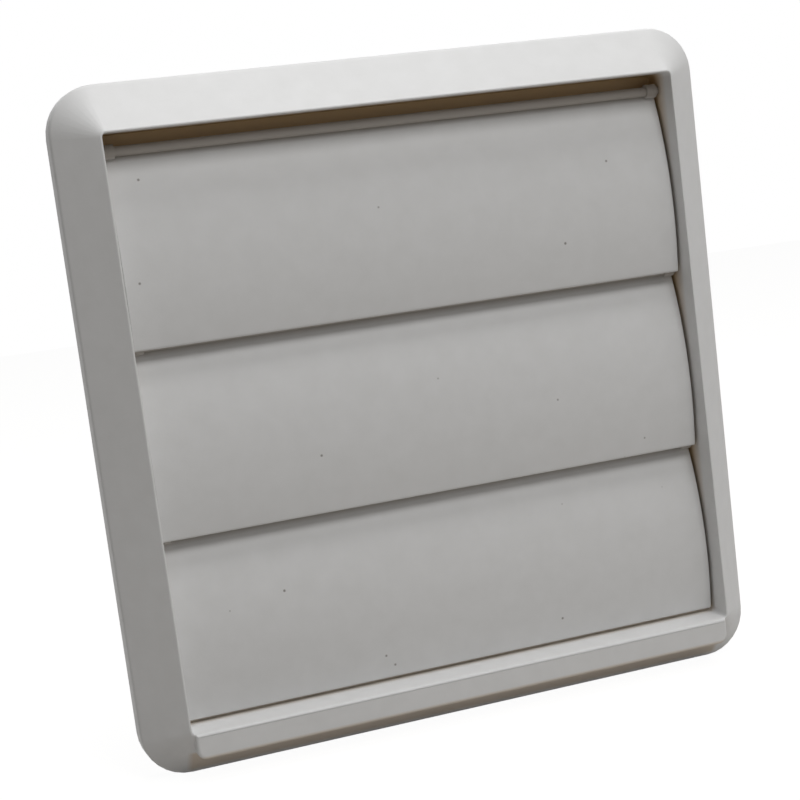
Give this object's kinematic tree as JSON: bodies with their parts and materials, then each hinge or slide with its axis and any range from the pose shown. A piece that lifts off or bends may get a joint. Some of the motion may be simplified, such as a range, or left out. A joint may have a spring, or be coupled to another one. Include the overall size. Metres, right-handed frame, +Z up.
{
  "type": "gravity louvre shutter",
  "caption": "Square white wall grille with a bevelled frame, hinged gravity flaps that close by their own weight, and a round duct spigot behind.",
  "frame": {"origin": "on the duct axis, in the wall plane at the frame's back face", "axes": "+X to the right seen from the front, +Y into the wall along the duct, +Z up"},
  "size_m": [0.155, 0.0538, 0.155],
  "materials": {
    "frame_plastic": "injection moulded white polystyrene, fine satin skin",
    "flap_plastic": "injection moulded white polystyrene, faint grain"
  },
  "bodies": {
    "frame": {"louvre_frame": "frame_plastic"},
    "flap_top": {"flap_top": "flap_plastic"},
    "flap_middle": {"flap_middle": "flap_plastic"},
    "flap_bottom": {"flap_bottom": "flap_plastic"}
  },
  "joints": [
    {"name": "flap_top_hinge", "type": "hinge", "parent": "frame", "child": "flap_top", "pos_m": [0, -0.0056, 0.0628], "axis": [-1, 0, 0], "range_deg": [0, 70]},
    {"name": "flap_middle_hinge", "type": "hinge", "parent": "frame", "child": "flap_middle", "pos_m": [0, -0.0056, 0.02013], "axis": [-1, 0, 0], "range_deg": [0, 70]},
    {"name": "flap_bottom_hinge", "type": "hinge", "parent": "frame", "child": "flap_bottom", "pos_m": [0, -0.0056, -0.02254], "axis": [-1, 0, 0], "range_deg": [0, 70]}
  ]
}
